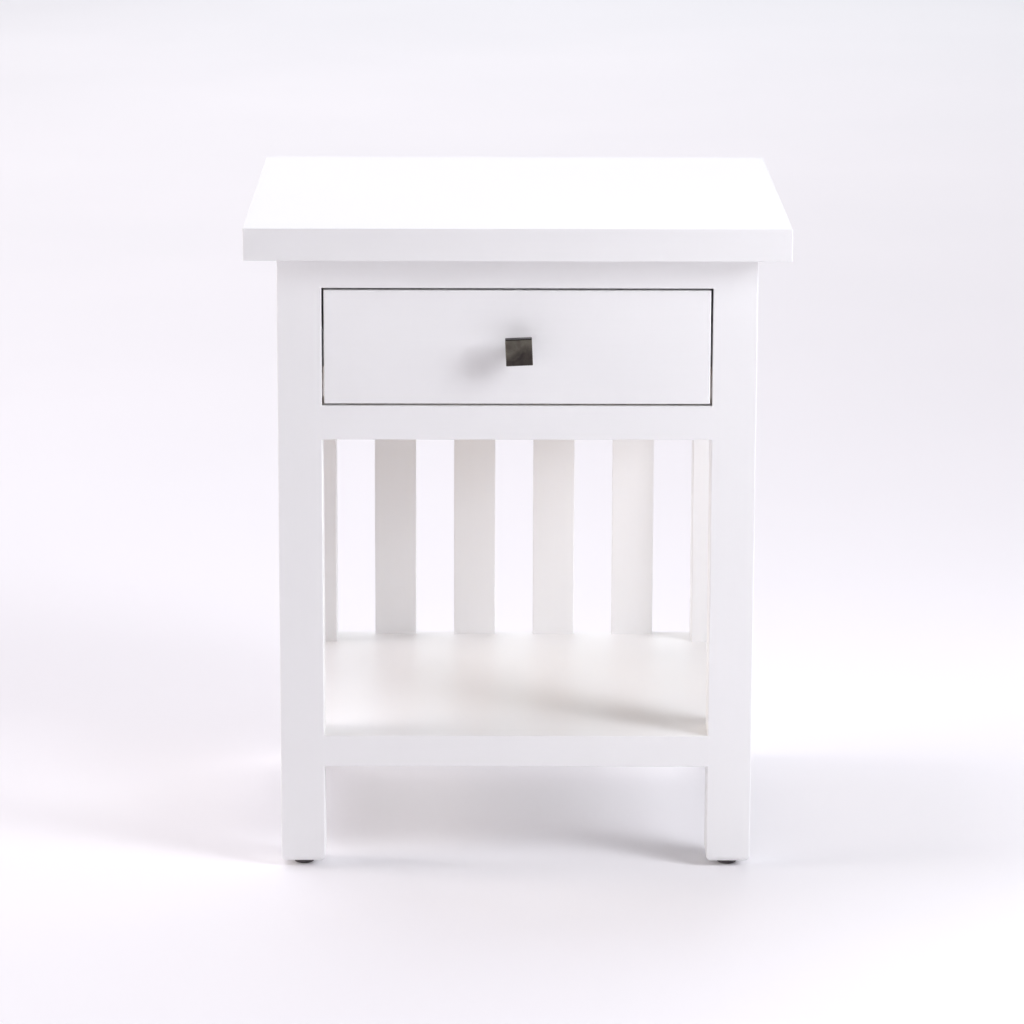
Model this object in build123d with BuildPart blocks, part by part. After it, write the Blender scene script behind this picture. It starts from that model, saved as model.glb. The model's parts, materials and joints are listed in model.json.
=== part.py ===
from build123d import *
import os

# Side table with one inset drawer, an open shelf and a slatted back.
# Millimetres. +Z is up, the drawer faces -Y, and the origin is on the floor under the table's centre.

os.makedirs("parts", exist_ok=True)

# ---------------------------------------------------------------- driving dimensions

table_width = 500.0
table_depth = 450.0
table_height = 615.0
top_thickness = 30.0
overhang = 29.0  # table top beyond the legs, on all four sides

leg_side = 41.0
foot_round = 6.0  # easing of a leg's lower end
glide_height = 5.5
glide_radius = 9.5
glide_nail_radius = 1.25
glide_nail_recess = 3.6  # radius of the recess for the nail's head
glide_nail_seat = 1.5  # depth of that recess
glide_nail_head = 1.0  # height of the head
glide_nail_play = 0.2  # round the head
glide_nail_top = 25.0

shelf_underside = 99.0
shelf_thickness = 30.0
top_rail_height = 30.0
drawer_opening = 110.0
lower_rail_height = 32.0
apron_thickness = 18.0
arris = 1.0  # softened edges of painted wood

slat_count = 4
slat_width = 42.0
slat_thickness = 9.0
slat_housing_shelf = 22.0  # length of slat let into the shelf's back edge
slat_housing_apron = 30.0  # length of slat let into the rear apron

tenon_length = 22.0
glue_space = 1.0  # mortise deeper than its tenon
rail_tenon = 16.0
rail_shoulder = 6.0
apron_tenon = 8.0
apron_shoulder = 10.0

cleat_side = 20.0
rear_cleat_length = 300.0
packer_height = 45.0

drawer_gap = 2.0  # round the inset drawer front
face_thickness = 18.0
box_thickness = 12.0
box_length = 310.0
box_height = 86.0
box_underside = 455.0
bottom_thickness = 5.0
bottom_raise = 10.0  # groove above the box's lower edge
groove_depth = 5.5
groove_play = 0.25

slide_space = 12.5  # between packer and drawer side
slide_length = 300.0
slide_setback = 24.0  # behind the front faces of the legs
slide_drop = 5.0  # below the middle of the drawer opening
inner_shorter = 4.0  # the drawer's member stops short at the rear
slide_gauge = 1.2  # sheet steel
slide_height = 35.0
ball_radius = 1.6
ball_play = 0.05
balls_per_row = 6
ball_pitch = 11.0
cage_length = 68.0
cage_gauge = 0.6
cage_web = 1.9  # depth of the cage's web
cage_past_balls = 1.1  # depth of the cage beyond the balls' centres
cage_over_balls = 0.65  # height of the cage's flange beyond the balls' centres
bumper_length = 3.8
bumper_play = 1.0  # between bumper and drawer member
bumper_spread = 1.0  # height beyond that member's web
bumper_round = 2.0

knob_side = 24.6
knob_head = 10.0
knob_projection = 26.5
knob_turn = 2.5  # degrees, anticlockwise seen from the front
knob_offset = 1.5  # right of the drawer's centre
knob_bevel = 0.7
knob_corner = 0.8
rose_radius = 8.0
rose_height = 2.0
neck_radius = 5.0
neck_fillet = 2.4

dowel_radius = 4.0
dowel_length = 30.0
dowel_chamfer = 0.8
box_dowel_radius = 3.0
box_dowel_length = 24.0
box_dowel_chamfer = 0.6
box_dowel_depth = 8.0  # in the drawer side
box_dowel_rises = (-15.0, 22.0)  # from the middle of the box's height

# fasteners: shank and head radius, then lengths
WOOD_SCREW = (2.0, 4.0)
SLIDE_SCREW = (1.75, 3.5)
cleat_screw_length = 34.0
packer_screw_length = 36.0
outer_screw_length = 16.0
inner_screw_length = 11.0
face_screw_length = 24.0
top_screw_bite = 18.0  # length of a top screw inside the table top
pan_height = 2.2
pan_round = 1.2
recess_width = 0.9
recess_depth = 1.4
recess_span = 1.2  # length of each arm of the cross over the head's radius
knob_screw_radius = 2.0
knob_screw_head = 4.2
knob_screw_length = 39.0
knob_bore_depth = 12.0
clearance_hole = 2.25
washer_radius = 6.0
washer_thickness = 0.8
brad_radius = 0.8
brad_head = 1.3
brad_head_height = 0.8
brad_length = 15.0

# places of the fasteners, from the table's centre planes
side_top_screw_ys = (-110.0, 110.0)
rear_top_screw_xs = (-90.0, 90.0)
rail_top_screw_xs = (-120.0, 120.0)
side_cleat_screw_ys = (-60.0, 60.0)
rear_cleat_screw_xs = (-40.0, 40.0)
packer_screw_ys = (-140.0, 140.0)
outer_slide_screw_ys = (-120.0, 100.0)
inner_slide_screw_ys = (-150.0, 90.0)
face_screw_xs = (-115.0, 115.0)
face_screw_rises = (-20.0, 20.0)  # from the middle of the drawer opening

# ---------------------------------------------------------------- places worked out from them

half_width = table_width / 2 - overhang  # outer faces of the legs
half_depth = table_depth / 2 - overhang
inner_x = half_width - leg_side  # inner faces of the legs
inner_y = half_depth - leg_side
leg_top = table_height - top_thickness
opening_top = leg_top - top_rail_height
opening_bottom = opening_top - drawer_opening
apron_bottom = opening_bottom - lower_rail_height
apron_height = leg_top - apron_bottom
apron_mid = (leg_top + apron_bottom) / 2
apron_inner_x = half_width - apron_thickness
apron_inner_y = half_depth - apron_thickness
shelf_top = shelf_underside + shelf_thickness
shelf_mid = shelf_underside + shelf_thickness / 2
leg_x = half_width - leg_side / 2
leg_y = half_depth - leg_side / 2

slat_pitch = (2 * inner_x + slat_width) / (slat_count + 1)
slat_xs = [(i - (slat_count - 1) / 2) * slat_pitch for i in range(slat_count)]
slat_bottom = shelf_top - slat_housing_shelf
slat_top = apron_bottom + slat_housing_apron
slat_y = half_depth - slat_thickness / 2

cleat_z = leg_top - cleat_side / 2
cleat_top_screw = cleat_side + top_screw_bite
rail_top_screw = top_rail_height + top_screw_bite

face_back = -half_depth + face_thickness
face_mid = (opening_top + opening_bottom) / 2
slide_z = face_mid - slide_drop
slide_front = -half_depth + slide_setback
slide_mid_y = slide_front + slide_length / 2
inner_mid_y = slide_mid_y - inner_shorter / 2
box_half = inner_x - slide_space  # outer faces of the drawer's sides
box_inner = box_half - box_thickness
box_back = face_back + box_length
box_mid_y = face_back + box_length / 2
box_mid_z = box_underside + box_height / 2
bottom_z = box_underside + bottom_raise + bottom_thickness / 2

# The balls run between the curled edges of the two slide members. Depth is counted from the packer.
race_depth = 6.0
race_inner = ball_radius + ball_play
race_outer = race_inner + slide_gauge
race_height = slide_height / 2 - race_outer
web_height = 2 * (race_height - race_inner)
cage_reach = race_depth + cage_past_balls
cage_edge = race_height + cage_over_balls
ball_ys = [inner_mid_y + (i - (balls_per_row - 1) / 2) * ball_pitch for i in range(balls_per_row)]

SIDES = (("left", -1), ("right", 1))
ENDS = (("front", -1), ("rear", 1))
TOP = (Align.CENTER, Align.CENTER, Align.MAX)
BOTTOM = (Align.CENTER, Align.CENTER, Align.MIN)


def save(builder, name):
    """Label a finished piece and write it under its node's name."""
    builder.part.label = name
    export_step(builder.part, f"parts/{name}.step")


# ---------------------------------------------------------------- fasteners
# Each is drawn hanging down local -Z from the plane of its seat, and the same call with
# Mode.SUBTRACT makes its hole.


def countersunk_screw(radius, head_radius, length, mode=Mode.ADD):
    Cone(radius, head_radius, head_radius - radius, align=TOP, mode=mode)
    Cylinder(radius, length, align=TOP, mode=mode)


def cross_recess(head_radius, height=0.0):
    with Locations((0, 0, height)):
        Box(recess_span * head_radius, recess_width, recess_depth, align=TOP, mode=Mode.SUBTRACT)
        Box(recess_width, recess_span * head_radius, recess_depth, align=TOP, mode=Mode.SUBTRACT)


def make_countersunk_screws(name, seats, radius, head_radius, length):
    with BuildPart() as screws:
        with Locations(*seats):
            countersunk_screw(radius, head_radius, length)
            cross_recess(head_radius)
    save(screws, name)


def seats_up(places, z):
    """Screws driven upwards, heads at height z."""
    return [Plane(origin=(x, y, z), z_dir=(0, 0, -1)) for x, y in places]


side_top_seats = seats_up(
    [(s * (apron_inner_x - cleat_side / 2), y) for _, s in SIDES for y in side_top_screw_ys],
    leg_top - cleat_side,
)
rear_top_seats = seats_up(
    [(x, apron_inner_y - cleat_side / 2) for x in rear_top_screw_xs], leg_top - cleat_side
)
rail_top_seats = seats_up([(x, -leg_y) for x in rail_top_screw_xs], opening_top)


def side_seats(depth, ys, z, outward):
    """Level screws at a distance from the centre plane, driven outwards (1) or inwards (-1)."""
    return [
        Plane(origin=(s * depth, y, z), x_dir=(0, 1, 0), z_dir=(-s * outward, 0, 0))
        for _, s in SIDES
        for y in ys
    ]


side_cleat_seats = side_seats(apron_inner_x - cleat_side, side_cleat_screw_ys, cleat_z, 1)
rear_cleat_seats = [
    Plane(origin=(x, apron_inner_y - cleat_side, cleat_z), z_dir=(0, -1, 0))
    for x in rear_cleat_screw_xs
]
cleat_seats = side_cleat_seats + rear_cleat_seats
packer_seats = side_seats(inner_x, packer_screw_ys, slide_z, 1)
outer_slide_seats = side_seats(inner_x - slide_gauge, outer_slide_screw_ys, slide_z, 1)
inner_slide_seats = side_seats(box_half + slide_gauge, inner_slide_screw_ys, slide_z, -1)

brad_seats = [
    Plane(origin=(x + dx, half_depth, z), z_dir=(0, 1, 0))
    for x in slat_xs
    for dx in (-slat_width / 4, slat_width / 4)
    for z in (slat_bottom + slat_housing_shelf / 2, slat_top - slat_housing_apron / 2)
]


def brad(mode=Mode.ADD):
    Cylinder(brad_head, brad_head_height, align=TOP, mode=mode)
    Cylinder(brad_radius, brad_length, align=TOP, mode=mode)


# Shelf dowels: two in each leg, one along X and one along Y.
dowel_planes = [
    plane
    for _, sx in SIDES
    for _, sy in ENDS
    for plane in (
        Plane(origin=(sx * inner_x, sy * leg_y, shelf_mid), z_dir=(sx, 0, 0)),
        Plane(origin=(sx * leg_x, sy * inner_y, shelf_mid), z_dir=(0, sy, 0)),
    )
]

# Drawer dowels: two in each corner of the box, all along X.
box_dowel_planes = [
    Plane(origin=(s * (box_inner + box_dowel_depth), y, box_mid_z + dz), z_dir=(s, 0, 0))
    for _, s in SIDES
    for y in (face_back + box_thickness / 2, box_back - box_thickness / 2)
    for dz in box_dowel_rises
]

# ---------------------------------------------------------------- legs, glides and shelf


def leg_zones(end):
    """Height bands of a leg with the corners that are eased there, as outward (1) or inward (-1)
    in X and Y. Where a rail, an apron or the shelf lies flush, only the outer corner is eased."""
    free = [(1, 1), (1, -1), (-1, 1), (-1, -1)]
    joint = [(1, 1)]
    zones = [
        (glide_height, shelf_underside, free),
        (shelf_underside, shelf_top, joint),
        (shelf_top, apron_bottom, free),
    ]
    if end == "front":
        zones += [
            (apron_bottom, opening_bottom, joint),
            (opening_bottom, opening_top, [(1, 1), (-1, 1)]),
            (opening_top, leg_top, joint),
        ]
    else:
        zones += [(apron_bottom, leg_top, joint)]
    return zones


def make_leg(side, sx, end, sy):
    """A leg with its mortises, dowel holes and nail hole. sx and sy are its signs in X and Y."""
    cx = sx * leg_x
    cy = sy * leg_y
    with BuildPart() as leg:
        for z0, z1, eased in leg_zones(end):
            corners = [(cx + kx * sx * leg_side / 2, cy + ky * sy * leg_side / 2) for kx, ky in eased]
            with BuildSketch(Plane.XY.offset(z0)) as section:
                with Locations((cx, cy)):
                    Rectangle(leg_side, leg_side)
                points = [Vector(x, y) for x, y in corners]
                eased_vertices = section.vertices().filter_by(
                    lambda v: any((Vector(v.X, v.Y) - p).length < 0.01 for p in points)
                )
                fillet(eased_vertices, arris)
            extrude(amount=z1 - z0)
        fillet(leg.faces().sort_by(Axis.Z)[0].edges(), foot_round)
        # side apron mortise
        with Locations((sx * (half_width - apron_thickness / 2), sy * inner_y, apron_mid)):
            Box(
                apron_tenon,
                2 * (tenon_length + glue_space),
                apron_height - 2 * apron_shoulder,
                mode=Mode.SUBTRACT,
            )
        # mortises of the front rails, or of the rear apron
        if end == "front":
            for z0, z1 in ((opening_top, leg_top), (apron_bottom, opening_bottom)):
                with Locations((sx * inner_x, cy, (z0 + z1) / 2)):
                    Box(
                        2 * (tenon_length + glue_space),
                        rail_tenon,
                        z1 - z0 - 2 * rail_shoulder,
                        mode=Mode.SUBTRACT,
                    )
        else:
            with Locations((sx * inner_x, sy * (half_depth - apron_thickness / 2), apron_mid)):
                Box(
                    2 * (tenon_length + glue_space),
                    apron_tenon,
                    apron_height - 2 * apron_shoulder,
                    mode=Mode.SUBTRACT,
                )
        with Locations(*dowel_planes):
            Cylinder(dowel_radius, dowel_length, mode=Mode.SUBTRACT)
        with Locations((cx, cy, 0)):
            Cylinder(glide_nail_radius, glide_nail_top, align=BOTTOM, mode=Mode.SUBTRACT)
    save(leg, f"leg_{end}_{side}")


leg_centres = [(sx * leg_x, sy * leg_y) for _, sx in SIDES for _, sy in ENDS]

for side, sx in SIDES:
    for end, sy in ENDS:
        make_leg(side, sx, end, sy)
        with BuildPart() as glide:
            with BuildSketch():
                with Locations((sx * leg_x, sy * leg_y)):
                    Circle(glide_radius)
                    Circle(glide_nail_radius, mode=Mode.SUBTRACT)
            extrude(amount=glide_height)
            with BuildSketch():
                with Locations((sx * leg_x, sy * leg_y)):
                    Circle(glide_nail_recess)
            extrude(amount=glide_nail_seat, mode=Mode.SUBTRACT)
            rim = glide.edges().filter_by(GeomType.CIRCLE).group_by(Axis.Z)[0].sort_by(SortBy.RADIUS)[-1]
            fillet(rim, glide_height / 3)
        save(glide, f"glide_{end}_{side}")

with BuildPart() as glide_nails:
    with BuildSketch(Plane.XY.offset(glide_nail_seat - glide_nail_head)):
        with Locations(*leg_centres):
            Circle(glide_nail_recess - glide_nail_play)
    extrude(amount=glide_nail_head)
    with BuildSketch(Plane.XY.offset(glide_nail_seat)):
        with Locations(*leg_centres):
            Circle(glide_nail_radius)
    extrude(amount=glide_nail_top - glide_nail_seat)
save(glide_nails, "glide_nails")

with BuildPart() as shelf:
    with BuildSketch(Plane.XY.offset(shelf_underside)):
        Rectangle(2 * half_width, 2 * inner_y)
        Rectangle(2 * inner_x, 2 * half_depth)
    extrude(amount=shelf_thickness)
    outline = shelf.edges().filter_by(Axis.X).filter_by(
        lambda e: abs(abs(e.center().Y) - half_depth) < 0.01
    ) + shelf.edges().filter_by(Axis.Y).filter_by(lambda e: abs(abs(e.center().X) - half_width) < 0.01)
    fillet(outline, arris)
    with Locations(*[(x, slat_y, shelf_top) for x in slat_xs]):
        Box(slat_width, slat_thickness, slat_housing_shelf, align=TOP, mode=Mode.SUBTRACT)
    with Locations(*dowel_planes):
        Cylinder(dowel_radius, dowel_length, mode=Mode.SUBTRACT)
    with Locations(*brad_seats):
        brad(mode=Mode.SUBTRACT)
save(shelf, "shelf")

with BuildPart() as shelf_dowels:
    with Locations(*dowel_planes):
        Cylinder(dowel_radius, dowel_length)
    chamfer(shelf_dowels.edges().filter_by(GeomType.CIRCLE), dowel_chamfer)
save(shelf_dowels, "shelf_dowels")

# ---------------------------------------------------------------- rails, aprons and slats


def make_front_rail(name, z0, z1):
    height = z1 - z0
    with BuildPart() as rail:
        with Locations((0, -leg_y, (z0 + z1) / 2)):
            Box(2 * inner_x, leg_side, height)
            Box(2 * (inner_x + tenon_length), rail_tenon, height - 2 * rail_shoulder)
        front = rail.edges().filter_by(Axis.X).group_by(Axis.Y)[0]
        eased = front.group_by(Axis.Z)[0] if z1 == leg_top else front
        fillet(eased, arris)
        if z1 == leg_top:
            with Locations(*rail_top_seats):
                countersunk_screw(*WOOD_SCREW, rail_top_screw, mode=Mode.SUBTRACT)
    save(rail, name)


make_front_rail("front_top_rail", opening_top, leg_top)
make_front_rail("front_lower_rail", apron_bottom, opening_bottom)

for side, s in SIDES:
    with BuildPart() as side_apron:
        with Locations((s * (half_width - apron_thickness / 2), 0, apron_mid)):
            Box(apron_thickness, 2 * inner_y, apron_height)
            Box(apron_tenon, 2 * (inner_y + tenon_length), apron_height - 2 * apron_shoulder)
        fillet(side_apron.edges().filter_by(Axis.Y).group_by(Axis.Z)[0], arris)
        with Locations(*side_cleat_seats):
            countersunk_screw(*WOOD_SCREW, cleat_screw_length, mode=Mode.SUBTRACT)
        with Locations(*packer_seats):
            countersunk_screw(*WOOD_SCREW, packer_screw_length, mode=Mode.SUBTRACT)
    save(side_apron, f"side_apron_{side}")

with BuildPart() as rear_apron:
    with Locations((0, half_depth - apron_thickness / 2, apron_mid)):
        Box(2 * inner_x, apron_thickness, apron_height)
        Box(2 * (inner_x + tenon_length), apron_tenon, apron_height - 2 * apron_shoulder)
    fillet(rear_apron.edges().filter_by(Axis.X).group_by(Axis.Z)[0], arris)
    with Locations(*[(x, slat_y, apron_bottom) for x in slat_xs]):
        Box(slat_width, slat_thickness, slat_housing_apron, align=BOTTOM, mode=Mode.SUBTRACT)
    with Locations(*rear_cleat_seats):
        countersunk_screw(*WOOD_SCREW, cleat_screw_length, mode=Mode.SUBTRACT)
    with Locations(*brad_seats):
        brad(mode=Mode.SUBTRACT)
save(rear_apron, "rear_apron")

for number, x in enumerate(slat_xs, start=1):
    with BuildPart() as slat:
        with Locations((x, slat_y, slat_bottom)):
            Box(slat_width, slat_thickness, slat_top - slat_bottom, align=BOTTOM)
        fillet(slat.edges().filter_by(Axis.Z), arris)
        with Locations(*brad_seats):
            brad(mode=Mode.SUBTRACT)
    save(slat, f"rear_slat_{number}")

with BuildPart() as slat_pins:
    with Locations(*brad_seats):
        brad()
save(slat_pins, "slat_pins")

# ---------------------------------------------------------------- table top and what holds it

with BuildPart() as table_top:
    with Locations((0, 0, leg_top)):
        Box(table_width, table_depth, top_thickness, align=BOTTOM)
    fillet(table_top.edges(), arris)
    with Locations(*side_top_seats, *rear_top_seats):
        countersunk_screw(*WOOD_SCREW, cleat_top_screw, mode=Mode.SUBTRACT)
    with Locations(*rail_top_seats):
        countersunk_screw(*WOOD_SCREW, rail_top_screw, mode=Mode.SUBTRACT)
save(table_top, "table_top")

for side, s in SIDES:
    with BuildPart() as side_cleat:
        with Locations((s * (apron_inner_x - cleat_side / 2), 0, cleat_z)):
            Box(cleat_side, 2 * inner_y, cleat_side)
        with Locations(*side_top_seats):
            countersunk_screw(*WOOD_SCREW, cleat_top_screw, mode=Mode.SUBTRACT)
        with Locations(*side_cleat_seats):
            countersunk_screw(*WOOD_SCREW, cleat_screw_length, mode=Mode.SUBTRACT)
    save(side_cleat, f"top_cleat_{side}")

with BuildPart() as rear_cleat:
    with Locations((0, apron_inner_y - cleat_side / 2, cleat_z)):
        Box(rear_cleat_length, cleat_side, cleat_side)
    with Locations(*rear_top_seats):
        countersunk_screw(*WOOD_SCREW, cleat_top_screw, mode=Mode.SUBTRACT)
    with Locations(*rear_cleat_seats):
        countersunk_screw(*WOOD_SCREW, cleat_screw_length, mode=Mode.SUBTRACT)
save(rear_cleat, "top_cleat_rear")

make_countersunk_screws("cleat_screws", cleat_seats, *WOOD_SCREW, cleat_screw_length)
make_countersunk_screws("packer_screws", packer_seats, *WOOD_SCREW, packer_screw_length)
make_countersunk_screws("slide_outer_screws", outer_slide_seats, *SLIDE_SCREW, outer_screw_length)
make_countersunk_screws("slide_inner_screws", inner_slide_seats, *SLIDE_SCREW, inner_screw_length)

with BuildPart() as top_screws:
    with Locations(*side_top_seats, *rear_top_seats):
        countersunk_screw(*WOOD_SCREW, cleat_top_screw)
        cross_recess(WOOD_SCREW[1])
    with Locations(*rail_top_seats):
        countersunk_screw(*WOOD_SCREW, rail_top_screw)
        cross_recess(WOOD_SCREW[1])
save(top_screws, "top_screws")

# ---------------------------------------------------------------- drawer slides


def slide_plane(s, y):
    """Section plane of a slide: local X runs from the packer towards the drawer, local Y is up."""
    return Plane(origin=(s * inner_x, y, slide_z), x_dir=(-s, 0, 0), z_dir=(0, s, 0))


for side, s in SIDES:
    with BuildPart() as packer:
        with Locations((s * (inner_x + apron_inner_x) / 2, 0, slide_z)):
            Box(apron_inner_x - inner_x, 2 * inner_y, packer_height)
        with Locations(*packer_seats):
            countersunk_screw(*WOOD_SCREW, packer_screw_length, mode=Mode.SUBTRACT)
        with Locations(*outer_slide_seats):
            countersunk_screw(*SLIDE_SCREW, outer_screw_length, mode=Mode.SUBTRACT)
    save(packer, f"slide_packer_{side}")

    with BuildPart() as slide_outer:
        with BuildSketch(slide_plane(s, slide_mid_y)):
            with Locations((slide_gauge / 2, 0)):
                Rectangle(slide_gauge, slide_height)
            for v in (-1, 1):
                with Locations((race_depth / 2, v * (slide_height - slide_gauge) / 2)):
                    Rectangle(race_depth, slide_gauge)
                with BuildLine():
                    start = 0 if v > 0 else -90
                    rim = CenterArc((race_depth, v * race_height), race_outer, start, 90)
                    race = CenterArc((race_depth, v * race_height), race_inner, start, 90)
                    Line(rim @ 0, race @ 0)
                    Line(rim @ 1, race @ 1)
                make_face()
        extrude(amount=slide_length / 2, both=True)
        with Locations(*outer_slide_seats):
            countersunk_screw(*SLIDE_SCREW, outer_screw_length, mode=Mode.SUBTRACT)
    save(slide_outer, f"slide_outer_{side}")

    with BuildPart() as slide_inner:
        with BuildSketch(slide_plane(s, inner_mid_y)):
            with Locations((slide_space - slide_gauge / 2, 0)):
                Rectangle(slide_gauge, web_height)
            for v in (-1, 1):
                flange = slide_space - race_depth
                with Locations((race_depth + flange / 2, v * (web_height - slide_gauge) / 2)):
                    Rectangle(flange, slide_gauge)
                with BuildLine():
                    start = 180 if v > 0 else 90
                    rim = CenterArc((race_depth, v * race_height), race_outer, start, 90)
                    race = CenterArc((race_depth, v * race_height), race_inner, start, 90)
                    Line(rim @ 0, race @ 0)
                    Line(rim @ 1, race @ 1)
                make_face()
        extrude(amount=(slide_length - inner_shorter) / 2, both=True)
        with Locations(*inner_slide_seats):
            countersunk_screw(*SLIDE_SCREW, inner_screw_length, mode=Mode.SUBTRACT)
    save(slide_inner, f"slide_inner_{side}")

    # The cage is a channel whose edges have an open pocket for each ball.
    ball_places = [
        (s * (inner_x - race_depth), y, slide_z + v * race_height) for y in ball_ys for v in (-1, 1)
    ]
    with BuildPart() as ball_cage:
        with BuildSketch(slide_plane(s, inner_mid_y)):
            with Locations((cage_web + cage_gauge / 2, 0)):
                Rectangle(cage_gauge, 2 * cage_edge + cage_gauge)
            with Locations(*[((cage_web + cage_reach) / 2, v * cage_edge) for v in (-1, 1)]):
                Rectangle(cage_reach - cage_web, cage_gauge)
        extrude(amount=cage_length / 2, both=True)
        with Locations(*ball_places):
            Cylinder(ball_radius + 2 * ball_play, 4 * ball_radius, mode=Mode.SUBTRACT)
    save(ball_cage, f"ball_cage_{side}")

    with BuildPart() as slide_balls:
        with Locations(*ball_places):
            Sphere(ball_radius)
    save(slide_balls, f"slide_balls_{side}")

with BuildPart() as slide_bumpers:
    for _, s in SIDES:
        depth = slide_space - 2 * slide_gauge - bumper_play
        with BuildSketch(slide_plane(s, slide_front + slide_length - bumper_length / 2)):
            with Locations((slide_gauge + depth / 2, 0)):
                RectangleRounded(depth, web_height + bumper_spread, bumper_round)
        extrude(amount=bumper_length / 2, both=True)
save(slide_bumpers, "slide_bumpers")

# ---------------------------------------------------------------- drawer

face_screw_seats = [
    Plane(origin=(x, face_back + box_thickness, face_mid + dz), z_dir=(0, 1, 0))
    for x in face_screw_xs
    for dz in face_screw_rises
]
knob_seat = Plane(origin=(knob_offset, face_back + box_thickness, face_mid), z_dir=(0, 1, 0))

with BuildPart() as drawer_face:
    with Locations((0, (face_back - half_depth) / 2, face_mid)):
        Box(2 * (inner_x - drawer_gap), face_thickness, drawer_opening - 2 * drawer_gap)
    fillet(drawer_face.faces().sort_by(Axis.Y)[0].edges(), arris)
    with Locations(*face_screw_seats):
        Cylinder(WOOD_SCREW[0], face_screw_length, align=TOP, mode=Mode.SUBTRACT)
    with Locations(knob_seat):
        Cylinder(clearance_hole, 2 * knob_screw_length, mode=Mode.SUBTRACT)
save(drawer_face, "drawer_face")


def make_box_end(name, y, is_front):
    """Front or back of the drawer box, between its sides, with the groove for the bottom."""
    inward = 1 if is_front else -1
    with BuildPart() as end:
        with Locations((0, y, box_mid_z)):
            Box(2 * box_inner, box_thickness, box_height)
        with Locations((0, y + inward * (box_thickness - groove_depth) / 2, bottom_z)):
            Box(2 * box_inner, groove_depth, bottom_thickness, mode=Mode.SUBTRACT)
        with Locations(*box_dowel_planes):
            Cylinder(box_dowel_radius, box_dowel_length, align=TOP, mode=Mode.SUBTRACT)
        if is_front:
            with Locations(*face_screw_seats):
                Cylinder(WOOD_SCREW[0], face_screw_length, align=TOP, mode=Mode.SUBTRACT)
            with Locations(knob_seat):
                Cylinder(clearance_hole, 2 * knob_screw_length, mode=Mode.SUBTRACT)
        fillet(end.edges().filter_by(Axis.X).group_by(Axis.Z)[-1], arris)
    save(end, name)


make_box_end("drawer_box_front", face_back + box_thickness / 2, True)
make_box_end("drawer_back", box_back - box_thickness / 2, False)

for side, s in SIDES:
    with BuildPart() as drawer_side:
        with Locations((s * (box_half - box_thickness / 2), box_mid_y, box_mid_z)):
            Box(box_thickness, box_length, box_height)
        with Locations((s * (box_inner + groove_depth / 2), box_mid_y, bottom_z)):
            Box(
                groove_depth,
                box_length - 2 * (box_thickness - groove_depth),
                bottom_thickness,
                mode=Mode.SUBTRACT,
            )
        with Locations(*box_dowel_planes):
            Cylinder(box_dowel_radius, box_dowel_length, align=TOP, mode=Mode.SUBTRACT)
        with Locations(*inner_slide_seats):
            countersunk_screw(*SLIDE_SCREW, inner_screw_length, mode=Mode.SUBTRACT)
        fillet(drawer_side.edges().filter_by(Axis.Y).group_by(Axis.Z)[-1], arris)
    save(drawer_side, f"drawer_side_{side}")

with BuildPart() as drawer_bottom:
    reach = 2 * (groove_depth - groove_play)
    with Locations((0, box_mid_y, bottom_z)):
        Box(2 * box_inner + reach, box_length - 2 * box_thickness + reach, bottom_thickness)
save(drawer_bottom, "drawer_bottom")

with BuildPart() as drawer_dowels:
    with Locations(*box_dowel_planes):
        Cylinder(box_dowel_radius, box_dowel_length, align=TOP)
    chamfer(drawer_dowels.edges().filter_by(GeomType.CIRCLE), box_dowel_chamfer)
save(drawer_dowels, "drawer_dowels")

with BuildPart() as face_screws:
    with Locations(*face_screw_seats):
        Cylinder(WOOD_SCREW[1], pan_height, align=BOTTOM)
        Cylinder(WOOD_SCREW[0], face_screw_length, align=TOP)
    fillet(face_screws.edges().filter_by(GeomType.CIRCLE).group_by(Axis.Y)[-1], pan_round)
    with Locations(*face_screw_seats):
        cross_recess(WOOD_SCREW[1], pan_height)
save(face_screws, "face_screws")

# ---------------------------------------------------------------- knob

with BuildPart() as knob_washer:
    with Locations(knob_seat):
        Cylinder(washer_radius, washer_thickness, align=BOTTOM)
        Cylinder(clearance_hole, 4 * washer_thickness, mode=Mode.SUBTRACT)
save(knob_washer, "knob_washer")

with BuildPart() as knob_screw:
    with Locations(knob_seat):
        with Locations((0, 0, washer_thickness)):
            Cylinder(knob_screw_head, pan_height, align=BOTTOM)
            Cylinder(knob_screw_radius, knob_screw_length + washer_thickness, align=TOP)
    fillet(knob_screw.edges().filter_by(GeomType.CIRCLE).group_by(Axis.Y)[-1], pan_round)
    with Locations(knob_seat):
        cross_recess(knob_screw_head, pan_height + washer_thickness)
save(knob_screw, "knob_screw")

knob_plane = Plane(
    origin=(knob_offset, -half_depth, face_mid),
    x_dir=Vector(1, 0, 0).rotate(Axis.Y, -knob_turn),
    z_dir=(0, -1, 0),
)
with BuildPart() as knob:
    with BuildSketch(knob_plane):
        Circle(rose_radius)
    extrude(amount=rose_height)
    with BuildSketch(knob_plane.offset(rose_height)):
        Circle(neck_radius)
    extrude(amount=knob_projection - knob_head - rose_height)
    necks = knob.edges().filter_by(GeomType.CIRCLE).group_by(SortBy.RADIUS)[0]
    fillet(necks.sort_by(Axis.Y)[-1], neck_fillet)
    with BuildSketch(knob_plane.offset(knob_projection - knob_head)):
        RectangleRounded(knob_side, knob_side, knob_corner)
    extrude(amount=knob_head)
    chamfer(knob.faces().sort_by(Axis.Y)[0].edges(), knob_bevel)
    with Locations(knob_plane):
        Cylinder(knob_screw_radius, 2 * knob_bore_depth, mode=Mode.SUBTRACT)
save(knob, "knob")
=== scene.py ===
import json
import math

import bpy
from mathutils import Matrix, Vector


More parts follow.
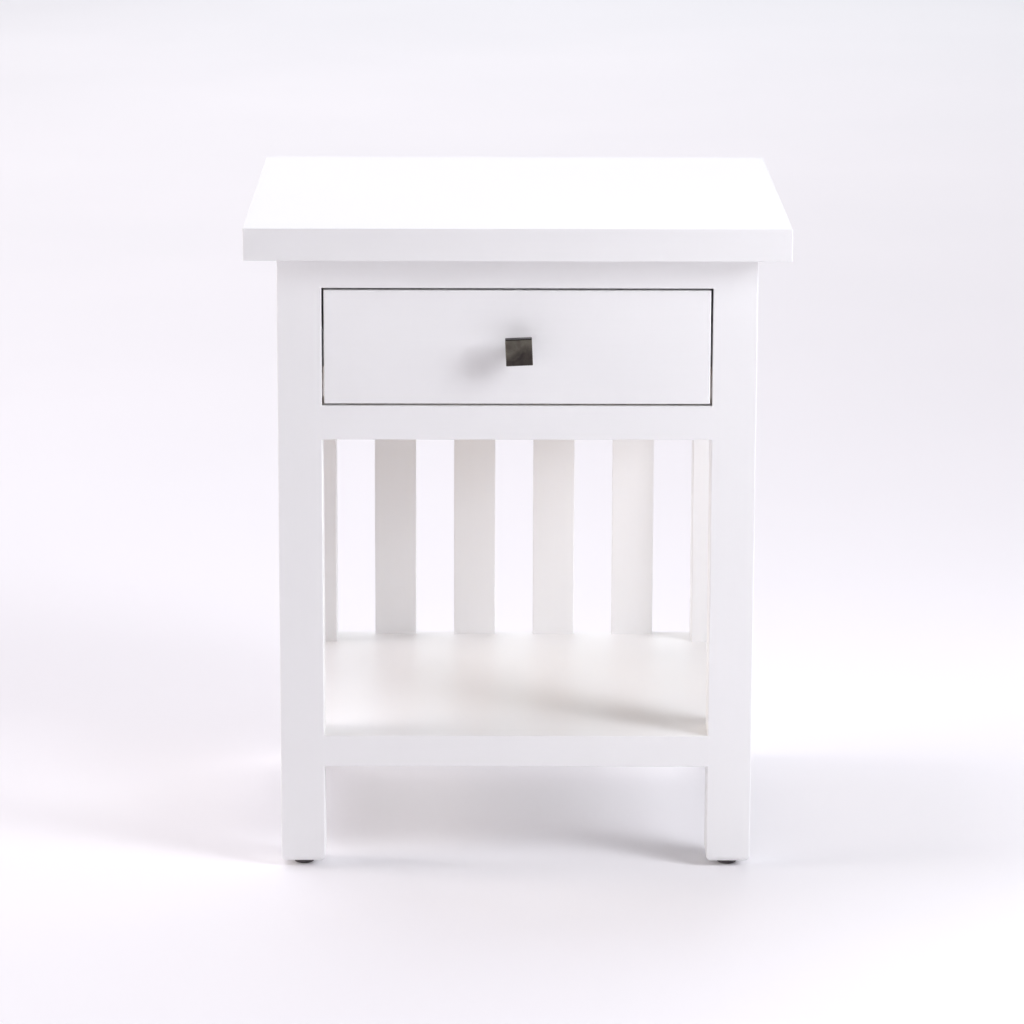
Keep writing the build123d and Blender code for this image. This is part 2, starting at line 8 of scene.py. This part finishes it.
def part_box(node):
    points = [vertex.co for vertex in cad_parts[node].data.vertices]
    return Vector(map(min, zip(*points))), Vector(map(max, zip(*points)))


# A white painted side table with a drawer, in the frame's own metres: +Z up, its drawer faces -Y.
# The CAD nodes carry all of its shape. This script gives them materials, and adds the floor, the
# lights and the camera.

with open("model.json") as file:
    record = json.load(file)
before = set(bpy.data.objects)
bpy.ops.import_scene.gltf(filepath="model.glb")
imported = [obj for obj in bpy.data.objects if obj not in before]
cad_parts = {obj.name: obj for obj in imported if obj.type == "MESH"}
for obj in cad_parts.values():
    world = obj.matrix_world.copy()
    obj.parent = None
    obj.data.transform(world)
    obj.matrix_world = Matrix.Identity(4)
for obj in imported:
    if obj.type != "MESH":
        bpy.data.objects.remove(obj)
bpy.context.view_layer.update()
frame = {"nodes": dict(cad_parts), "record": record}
nodes = frame["nodes"]

# ---------------------------------------------------------------- driving values

CAMERA_PLACE = (-0.02665, -4.17225, 1.25672)
CAMERA_PITCH = 12.919  # degrees below the horizon
CAMERA_YAW = -0.321
CAMERA_ROLL = 0.166
CAMERA_LENS = 154.57  # millimetres, on a sensor 36 wide
CAMERA_SENSOR = 36.0
CAMERA_REACH = 200.0

TABLE_MIDDLE = (0.0, 0.0, 0.35)

KNOB_SIDE = 0.0246
KNOB_TURN = math.radians(-2.5)  # about +Y, which is anticlockwise seen from the front

# ---------------------------------------------------------------- node helpers

AXES = ("X", "Y", "Z")

# a Mix node has sockets A, B and Result for each type of value, and these are its colour ones
MIX_A = 6
MIX_B = 7
MIX_RESULT = 2


class Shader:
    """A material and its node tree, with short ways to add nodes. Every texture is solid: it reads
    the object's own coordinates, in metres, so it runs on from face to face without a seam."""

    def __init__(self, name):
        self.material = bpy.data.materials.new(name)
        self.material.use_nodes = True
        self.tree = self.material.node_tree
        self.tree.nodes.clear()
        self.surface = self.add("ShaderNodeBsdfPrincipled")
        output = self.add("ShaderNodeOutputMaterial")
        self.link(self.surface.outputs["BSDF"], output.inputs["Surface"])
        self.place = self.add("ShaderNodeTexCoord").outputs["Object"]

    def add(self, kind, **settings):
        node = self.tree.nodes.new(kind)
        for key, value in settings.items():
            setattr(node, key, value)
        return node

    def link(self, output, socket):
        self.tree.links.new(output, socket)

    def feed(self, socket, value):
        """Links value if it is another node's output, and sets it on the socket if it is a constant."""
        if isinstance(value, bpy.types.NodeSocket):
            self.link(value, socket)
        else:
            socket.default_value = value

    def set(self, **values):
        """Surface values by socket name, with _ for a space."""
        for key, value in values.items():
            self.feed(self.surface.inputs[key.replace("_", " ")], value)

    def stretched(self, axis, along, across=1.0, offset=(0.0, 0.0, 0.0)):
        """Coordinates whose Z runs along the board's length, scaled apart along and across it."""
        turn = {"X": (0, math.pi / 2, 0), "Y": (math.pi / 2, 0, 0), "Z": (0, 0, 0)}[axis]
        turned = self.add("ShaderNodeMapping")
        self.link(self.place, turned.inputs["Vector"])
        turned.inputs["Rotation"].default_value = turn
        scaled = self.add("ShaderNodeMapping")
        self.link(turned.outputs["Vector"], scaled.inputs["Vector"])
        scaled.inputs["Location"].default_value = offset
        scaled.inputs["Scale"].default_value = (across, across, along)
        return scaled.outputs["Vector"]

    def noise(self, scale, detail=2.0, roughness=0.5, distortion=0.0, vector=None):
        node = self.add("ShaderNodeTexNoise")
        self.link(self.place if vector is None else vector, node.inputs["Vector"])
        node.inputs["Scale"].default_value = scale
        node.inputs["Detail"].default_value = detail
        node.inputs["Roughness"].default_value = roughness
        node.inputs["Distortion"].default_value = distortion
        return node.outputs["Fac"]

    def span(self, value, low, high, from_low=0.0, from_high=1.0):
        """value mapped from one range to another, and held inside it."""
        node = self.add("ShaderNodeMapRange")
        self.link(value, node.inputs["Value"])
        node.inputs["From Min"].default_value = from_low
        node.inputs["From Max"].default_value = from_high
        node.inputs["To Min"].default_value = low
        node.inputs["To Max"].default_value = high
        return node.outputs["Result"]

    def math(self, operation, a, b):
        node = self.add("ShaderNodeMath", operation=operation)
        self.feed(node.inputs[0], a)
        self.feed(node.inputs[1], b)
        return node.outputs["Value"]

    def blend(self, factor, a, b):
        """Colour a where factor is 0 and colour b where it is 1."""
        node = self.add("ShaderNodeMix", data_type="RGBA")
        self.feed(node.inputs["Factor"], factor)
        self.feed(node.inputs[MIX_A], a if isinstance(a, bpy.types.NodeSocket) else (*a, 1.0))
        self.feed(node.inputs[MIX_B], b if isinstance(b, bpy.types.NodeSocket) else (*b, 1.0))
        return node.outputs[MIX_RESULT]

    def bump(self, height, distance, strength=1.0, below=None):
        """A bump of so many metres, on top of another one if below is given."""
        node = self.add("ShaderNodeBump")
        node.inputs["Strength"].default_value = strength
        node.inputs["Distance"].default_value = distance
        self.link(height, node.inputs["Height"])
        if below is not None:
            self.link(below, node.inputs["Normal"])
        return node.outputs["Normal"]

    def edges(self, radius):
        """1 on edges and corners within radius of them, 0 on flat faces."""
        bevel = self.add("ShaderNodeBevel", samples=4)
        bevel.inputs["Radius"].default_value = radius
        flat = self.add("ShaderNodeNewGeometry").outputs["Normal"]
        dot = self.add("ShaderNodeVectorMath", operation="DOT_PRODUCT")
        self.link(bevel.outputs["Normal"], dot.inputs[0])
        self.link(flat, dot.inputs[1])
        return self.span(dot.outputs["Value"], 1.0, 0.0, 0.75, 0.99)


# ---------------------------------------------------------------- materials


def white_paint(axis):
    """Satin white paint on wood whose grain runs along axis: even, with a trace of the brush and
    of the grain under it, and a little thinner on the arrises."""
    s = Shader(f"white_paint_{axis.lower()}")
    strokes = s.noise(1.0, 3.0, 0.55, vector=s.stretched(axis, 9.0, 420.0))
    grain = s.noise(1.0, 2.0, 0.5, 0.4, vector=s.stretched(axis, 14.0, 900.0))
    skin = s.noise(750.0, 1.0)
    cloud = s.noise(4.5, 2.0)
    tone = s.blend(s.span(cloud, 0.0, 1.0, 0.3, 0.7), (0.900, 0.903, 0.900), (0.913, 0.916, 0.913))
    brushed = s.blend(s.span(strokes, 0.0, 0.35, 0.35, 0.75), tone, (0.924, 0.926, 0.923))
    worn = s.math("MULTIPLY", s.edges(0.0012), s.span(s.noise(60.0, 3.0), 0.0, 0.5, 0.45, 0.75))
    s.set(
        Base_Color=s.blend(worn, brushed, (0.855, 0.842, 0.832)),
        Roughness=s.span(s.math("ADD", cloud, strokes), 0.30, 0.42, 0.7, 1.3),
        Normal=s.bump(skin, 0.000012, below=s.bump(grain, 0.00002, below=s.bump(strokes, 0.00003))),
    )
    return s.material


def clear_wood(name, axis, pale, dark, ring_scale, centre, figure, roughness=(0.38, 0.55)):
    """Planed wood with year rings about an axis along the board, pores and streaks. centre shifts
    that axis off the board, and figure is how strongly the late wood shows."""
    s = Shader(name)
    length = s.stretched(axis, 0.55, offset=centre)
    rings = s.add("ShaderNodeTexWave", wave_type="RINGS", rings_direction="Z", wave_profile="SAW")
    s.link(length, rings.inputs["Vector"])
    rings.inputs["Scale"].default_value = ring_scale
    rings.inputs["Distortion"].default_value = 3.5
    rings.inputs["Detail"].default_value = 2.5
    rings.inputs["Detail Scale"].default_value = 0.35
    late = s.span(rings.outputs["Fac"], 0.0, 1.0, 0.35, 1.0)
    pores = s.noise(1.0, 4.0, 0.6, vector=s.stretched(axis, 30.0, 1500.0))
    streaks = s.noise(1.0, 3.0, 0.55, vector=s.stretched(axis, 3.0, 60.0))
    ringed = s.blend(s.math("MULTIPLY", late, figure), pale, dark)
    shaded = s.blend(s.span(streaks, 0.0, 0.45, 0.4, 0.7), ringed, dark)
    deep = tuple(0.6 * c for c in dark)
    s.set(
        Base_Color=s.blend(s.span(pores, 0.0, 0.5, 0.56, 0.74), shaded, deep),
        Roughness=s.span(s.math("ADD", pores, streaks), *roughness, 0.7, 1.3),
        Normal=s.bump(pores, 0.00004, below=s.bump(late, 0.00002)),
    )
    return s.material


def lacquered_hardwood(axis):
    """The drawer box's sides, back and front."""
    name = f"drawer_wood_{axis.lower()}"
    return clear_wood(name, axis, (0.70, 0.53, 0.33), (0.52, 0.35, 0.19), 95.0, (0.05, 0.11, 0.0), 0.6)


def planed_softwood(axis):
    """Cleats and packers, which are left bare."""
    name = f"bare_wood_{axis.lower()}"
    pale, dark = (0.68, 0.50, 0.30), (0.47, 0.29, 0.14)
    return clear_wood(name, axis, pale, dark, 80.0, (0.13, -0.07, 0.0), 0.8, roughness=(0.6, 0.8))


def antique_bronze():
    """Dark cast bronze, aged to a mottled brown and grey-green. Painted shade darkens it towards the lower
    right and along the upper edge, and the other edges are worn lighter, which also paints a highlight on
    them."""
    s = Shader("antique_bronze")
    on_knob = s.add("ShaderNodeMapping", vector_type="TEXTURE")
    low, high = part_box("knob")
    s.link(s.place, on_knob.inputs["Vector"])
    on_knob.inputs["Location"].default_value = [(a + b) / 2 for a, b in zip(low, high)]
    on_knob.inputs["Rotation"].default_value = (0.0, KNOB_TURN, 0.0)
    on_knob.inputs["Scale"].default_value = [KNOB_SIDE / 2] * 3
    split = s.add("ShaderNodeSeparateXYZ")
    s.link(on_knob.outputs["Vector"], split.inputs["Vector"])
    rise = split.outputs["Z"]
    mottle = s.noise(110.0, 4.0, 0.6, 0.6)
    bloom = s.noise(42.0, 2.0, 0.5, 0.8)
    pits = s.noise(900.0, 3.0, 0.6)
    # painted shade: darker towards the bottom and towards the right of the knob's face
    painted_shade_slope = s.math("SUBTRACT", rise, s.math("MULTIPLY", split.outputs["X"], 0.3))
    shade = s.math("ADD", painted_shade_slope, s.span(bloom, -0.7, 0.7, 0.3, 0.7))
    # pale and dark: a lit and a shaded copy of the mottled bronze, mixed by the painted shade and the
    # random bloom
    pale = s.blend(s.span(mottle, 0.0, 1.0, 0.35, 0.68), (0.132, 0.121, 0.101), (0.209, 0.198, 0.163))
    dark = s.blend(s.span(mottle, 0.0, 1.0, 0.35, 0.68), (0.053, 0.047, 0.044), (0.092, 0.081, 0.071))
    patina_and_painted_shade = s.blend(s.span(shade, 0.0, 1.0, -0.6, 0.3), dark, pale)
    # lighter edges: wear, and also a painted highlight along every edge
    worn_and_painted_highlight = s.math("MULTIPLY", s.edges(0.0006), s.span(mottle, 0.1, 0.6, 0.4, 0.7))
    worn = s.blend(worn_and_painted_highlight, patina_and_painted_shade, (0.24, 0.20, 0.145))
    s.set(
        # painted shade: a near-black band along the knob's upper edge
        Base_Color=s.blend(s.span(rise, 0.0, 1.0, 0.91, 0.97), worn, (0.028, 0.025, 0.023)),
        Metallic=1.0,
        Roughness=s.span(s.math("ADD", mottle, pits), 0.34, 0.58, 0.7, 1.3),
        Normal=s.bump(pits, 0.00003, below=s.bump(mottle, 0.00010)),
    )
    return s.material


def rolled_zinc(name, axis, tint, roughness):
    """Zinc-plated rolled steel: faint lines along the strip and a cloudy plating."""
    s = Shader(name)
    lines = s.noise(1.0, 3.0, 0.6, vector=s.stretched(axis, 12.0, 2600.0))
    cloud = s.noise(90.0, 3.0, 0.5)
    low, high = roughness
    dull = tuple(0.82 * c for c in tint)
    s.set(
        Base_Color=s.blend(s.span(cloud, 0.0, 1.0, 0.35, 0.7), tint, dull),
        Metallic=1.0,
        Roughness=s.span(s.math("ADD", lines, cloud), low, high, 0.7, 1.3),
        Normal=s.bump(lines, 0.000012),
    )
    return s.material


def bright_zinc():
    """Zinc plate on turned and headed steel."""
    s = Shader("bright_zinc")
    cloud = s.noise(420.0, 3.0, 0.55)
    s.set(
        Base_Color=s.blend(s.span(cloud, 0.0, 1.0, 0.3, 0.7), (0.66, 0.66, 0.62), (0.50, 0.51, 0.50)),
        Metallic=1.0,
        Roughness=s.span(cloud, 0.24, 0.42, 0.3, 0.7),
        Normal=s.bump(cloud, 0.00001),
    )
    return s.material


def polished_steel():
    """Hardened bearing balls under a film of grease."""
    s = Shader("polished_steel")
    film = s.noise(600.0, 2.0)
    s.set(
        Base_Color=s.blend(s.span(film, 0.0, 1.0, 0.3, 0.7), (0.74, 0.75, 0.77), (0.62, 0.62, 0.62)),
        Metallic=1.0,
        Roughness=s.span(film, 0.06, 0.16, 0.3, 0.7),
    )
    return s.material


def moulded(name, tone, dust, roughness):
    """Dark moulded plastic or rubber, finely textured, with a little dust on it."""
    s = Shader(name)
    skin = s.noise(1400.0, 2.0)
    film = s.noise(160.0, 3.0, 0.6)
    low, high = roughness
    s.set(
        Base_Color=s.blend(s.span(film, 0.0, 0.5, 0.45, 0.75), tone, dust),
        Roughness=s.span(s.math("ADD", film, skin), low, high, 0.7, 1.3),
        Normal=s.bump(skin, 0.00003),
    )
    return s.material


paint = {axis: white_paint(axis) for axis in AXES}
drawer_wood = {axis: lacquered_hardwood(axis) for axis in AXES}
bare_wood = {axis: planed_softwood(axis) for axis in AXES}
birch_ply = clear_wood(
    "birch_ply", "X", (0.72, 0.57, 0.38), (0.60, 0.43, 0.25), 14.0, (0.02, 0.35, 0.0), 0.5
)
beech = clear_wood("beech", "X", (0.66, 0.46, 0.29), (0.50, 0.31, 0.17), 160.0, (0.03, 0.05, 0.0), 0.4)
bronze = antique_bronze()
slide_steel = rolled_zinc("slide_steel", "Y", (0.68, 0.69, 0.70), (0.24, 0.42))
zinc = bright_zinc()
ball_steel = polished_steel()
glide_plastic = moulded("glide_plastic", (0.075, 0.068, 0.070), (0.14, 0.13, 0.13), (0.45, 0.62))
rubber = moulded("bumper_rubber", (0.022, 0.022, 0.023), (0.07, 0.068, 0.066), (0.6, 0.8))


def long_axis(name):
    """The axis a piece is longest along, which is the way its grain runs."""
    low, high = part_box(name)
    size = high - low
    return AXES[max(range(3), key=lambda i: size[i])]


def finish_for(name, slot):
    """The material of a piece: its slot says what it is made of, and its shape how the grain runs."""
    by_grain = {"white_paint": paint, "drawer_wood": drawer_wood, "bare_wood": bare_wood}
    if slot in by_grain:
        return by_grain[slot][long_axis(name)]
    return {
        "bronze": bronze,
        "dark_plastic": glide_plastic,
        "drawer_ply": birch_ply,
        "dowel_wood": beech,
        "slide_steel": slide_steel,
        "bearing_steel": ball_steel,
        "zinc_steel": zinc,
        "bumper_rubber": rubber,
    }[slot]


for subpart in frame["record"]["subparts"]:
    mesh = nodes[subpart["node"]].data
    mesh.materials.clear()
    mesh.materials.append(finish_for(subpart["node"], subpart["material_slot"]))

# ---------------------------------------------------------------- floor

FLOOR_HALF = 40.0
FLOOR_STEPS = 20


def floor_paint():
    """Matt pale lavender grey, with a trace of cloud in it."""
    s = Shader("studio_floor")
    cloud = s.noise(1.3, 2.0)
    s.set(
        Base_Color=s.blend(s.span(cloud, 0.0, 1.0, 0.3, 0.7), (0.915, 0.905, 0.918), (0.935, 0.925, 0.937)),
        Roughness=s.span(cloud, 0.55, 0.7, 0.3, 0.7),
        Specular_IOR_Level=0.2,
    )
    return s.material


def make_floor():
    """A wide plane, finely divided near the table."""
    steps = [i / FLOOR_STEPS for i in range(-FLOOR_STEPS, FLOOR_STEPS + 1)]
    reach = [math.copysign(step**2 * FLOOR_HALF, step) for step in steps]
    count = len(reach)
    points = [(x, y, 0.0) for y in reach for x in reach]
    faces = [
        (j * count + i, j * count + i + 1, (j + 1) * count + i + 1, (j + 1) * count + i)
        for j in range(count - 1)
        for i in range(count - 1)
    ]
    mesh = bpy.data.meshes.new("floor")
    mesh.from_pydata(points, [], faces)
    floor = bpy.data.objects.new("floor", mesh)
    bpy.context.scene.collection.objects.link(floor)
    mesh.materials.append(floor_paint())


make_floor()

# ---------------------------------------------------------------- light


def softbox(name, place, target, width, height, power, colour):
    """A round or oval soft light at place, turned to target, that the camera doesn't see."""
    light = bpy.data.lights.new(name, "AREA")
    light.shape = "ELLIPSE"
    light.size = width
    light.size_y = height
    light.energy = power
    light.color = colour
    lamp = bpy.data.objects.new(name, light)
    lamp.location = place
    aim = Vector(target) - Vector(place)
    lamp.rotation_mode = "QUATERNION"
    lamp.rotation_quaternion = aim.to_track_quat("-Z", "Y")
    lamp.visible_camera = False
    bpy.context.scene.collection.objects.link(lamp)


def standing(name, azimuth, elevation, distance, width, height, power, colour):
    """A softbox turned to the table, at an azimuth right of the front and an elevation in degrees."""
    a, e = math.radians(azimuth), math.radians(elevation)
    away = Vector((math.sin(a) * math.cos(e), -math.cos(a) * math.cos(e), math.sin(e)))
    place = Vector(TABLE_MIDDLE) + distance * away
    softbox(name, place, TABLE_MIDDLE, width, height, power, colour)


def hanging(name, x, y, z, width, depth, power, colour):
    """A softbox that hangs above the floor and lights what is straight below it."""
    softbox(name, (x, y, z), (x, y, 0.0), width, depth, power, colour)


DAYLIGHT = (0.935, 0.943, 1.0)
SILVER = (0.85, 0.97, 1.0)
LAVENDER = (0.90, 0.87, 1.0)
CREAM = (1.0, 0.93, 0.89)
DUSK = (1.0, 0.935, 0.985)

KEY_DISTANCE = 2.6
WALL_DISTANCE = 9.0

# four panels stand together on the right, as one broad key light that is brightest in its middle
standing("key", 55.0, 20.0, KEY_DISTANCE, 0.6, 0.6, 10.0, DAYLIGHT)
standing("key_high", 58.0, 34.0, KEY_DISTANCE, 1.0, 1.0, 12.0, DAYLIGHT)
standing("key_front", 52.0, 28.0, KEY_DISTANCE, 1.1, 1.1, 14.5, DAYLIGHT)
standing("key_side", 66.0, 18.0, KEY_DISTANCE, 0.9, 0.9, 12.5, DAYLIGHT)
standing("left_wall", -90.0, 15.0, WALL_DISTANCE, 6.0, 6.0, 545.0, CREAM)
standing("back_wall", 175.0, 15.0, WALL_DISTANCE, 7.5, 5.0, 76.0, SILVER)
softbox("ceiling", (-1.5, 0.5, 3.0), (-1.0, 0.5, 0.0), 2.0, 2.0, 28.0, LAVENDER)
hanging("backdrop", -0.8, 6.0, 5.0, 7.0, 5.0, 112.0, DUSK)
hanging("backdrop_high", -0.4, 4.0, 6.0, 9.0, 6.0, 176.0, DAYLIGHT)
softbox("foreground", (0.0, -2.0, 2.4), (0.0, -1.8, 0.0), 1.4, 0.9, 3.0, DAYLIGHT)

# The world is a pale band round the horizon, which fades upwards. Heights are sines of elevations.
WALL_TOP = 0.14
CEILING_FROM = 0.38
WALL_GLOW = 0.54
CEILING_GLOW = 0.10
WORLD_TINT = (0.98, 0.88, 0.94)


def make_world():
    world = bpy.data.worlds.new("studio")
    world.use_nodes = True
    tree = world.node_tree
    direction = tree.nodes.new("ShaderNodeTexCoord")
    split = tree.nodes.new("ShaderNodeSeparateXYZ")
    glow = tree.nodes.new("ShaderNodeMapRange")
    glow.interpolation_type = "SMOOTHSTEP"
    glow.inputs["From Min"].default_value = WALL_TOP
    glow.inputs["From Max"].default_value = CEILING_FROM
    glow.inputs["To Min"].default_value = WALL_GLOW
    glow.inputs["To Max"].default_value = CEILING_GLOW
    background = tree.nodes["Background"]
    background.inputs["Color"].default_value = (*WORLD_TINT, 1.0)
    tree.links.new(direction.outputs["Generated"], split.inputs["Vector"])
    tree.links.new(split.outputs["Z"], glow.inputs["Value"])
    tree.links.new(glow.outputs["Result"], background.inputs["Strength"])
    bpy.context.scene.world = world


make_world()

view_settings = bpy.context.scene.view_settings
view_settings.view_transform = "Standard"
view_settings.look = "None"

# ---------------------------------------------------------------- camera


def make_camera():
    """The photograph's view: from straight ahead, a little above the table and far off."""
    lens = bpy.data.cameras.new("camera")
    lens.sensor_width = CAMERA_SENSOR
    lens.lens = CAMERA_LENS
    lens.clip_end = CAMERA_REACH
    camera = bpy.data.objects.new("camera", lens)
    camera.matrix_world = (
        Matrix.Translation(CAMERA_PLACE)
        @ Matrix.Rotation(math.radians(CAMERA_YAW), 4, "Z")
        @ Matrix.Rotation(math.radians(90.0 - CAMERA_PITCH), 4, "X")
        @ Matrix.Rotation(math.radians(CAMERA_ROLL), 4, "Z")
    )
    bpy.context.scene.collection.objects.link(camera)
    bpy.context.scene.camera = camera


make_camera()
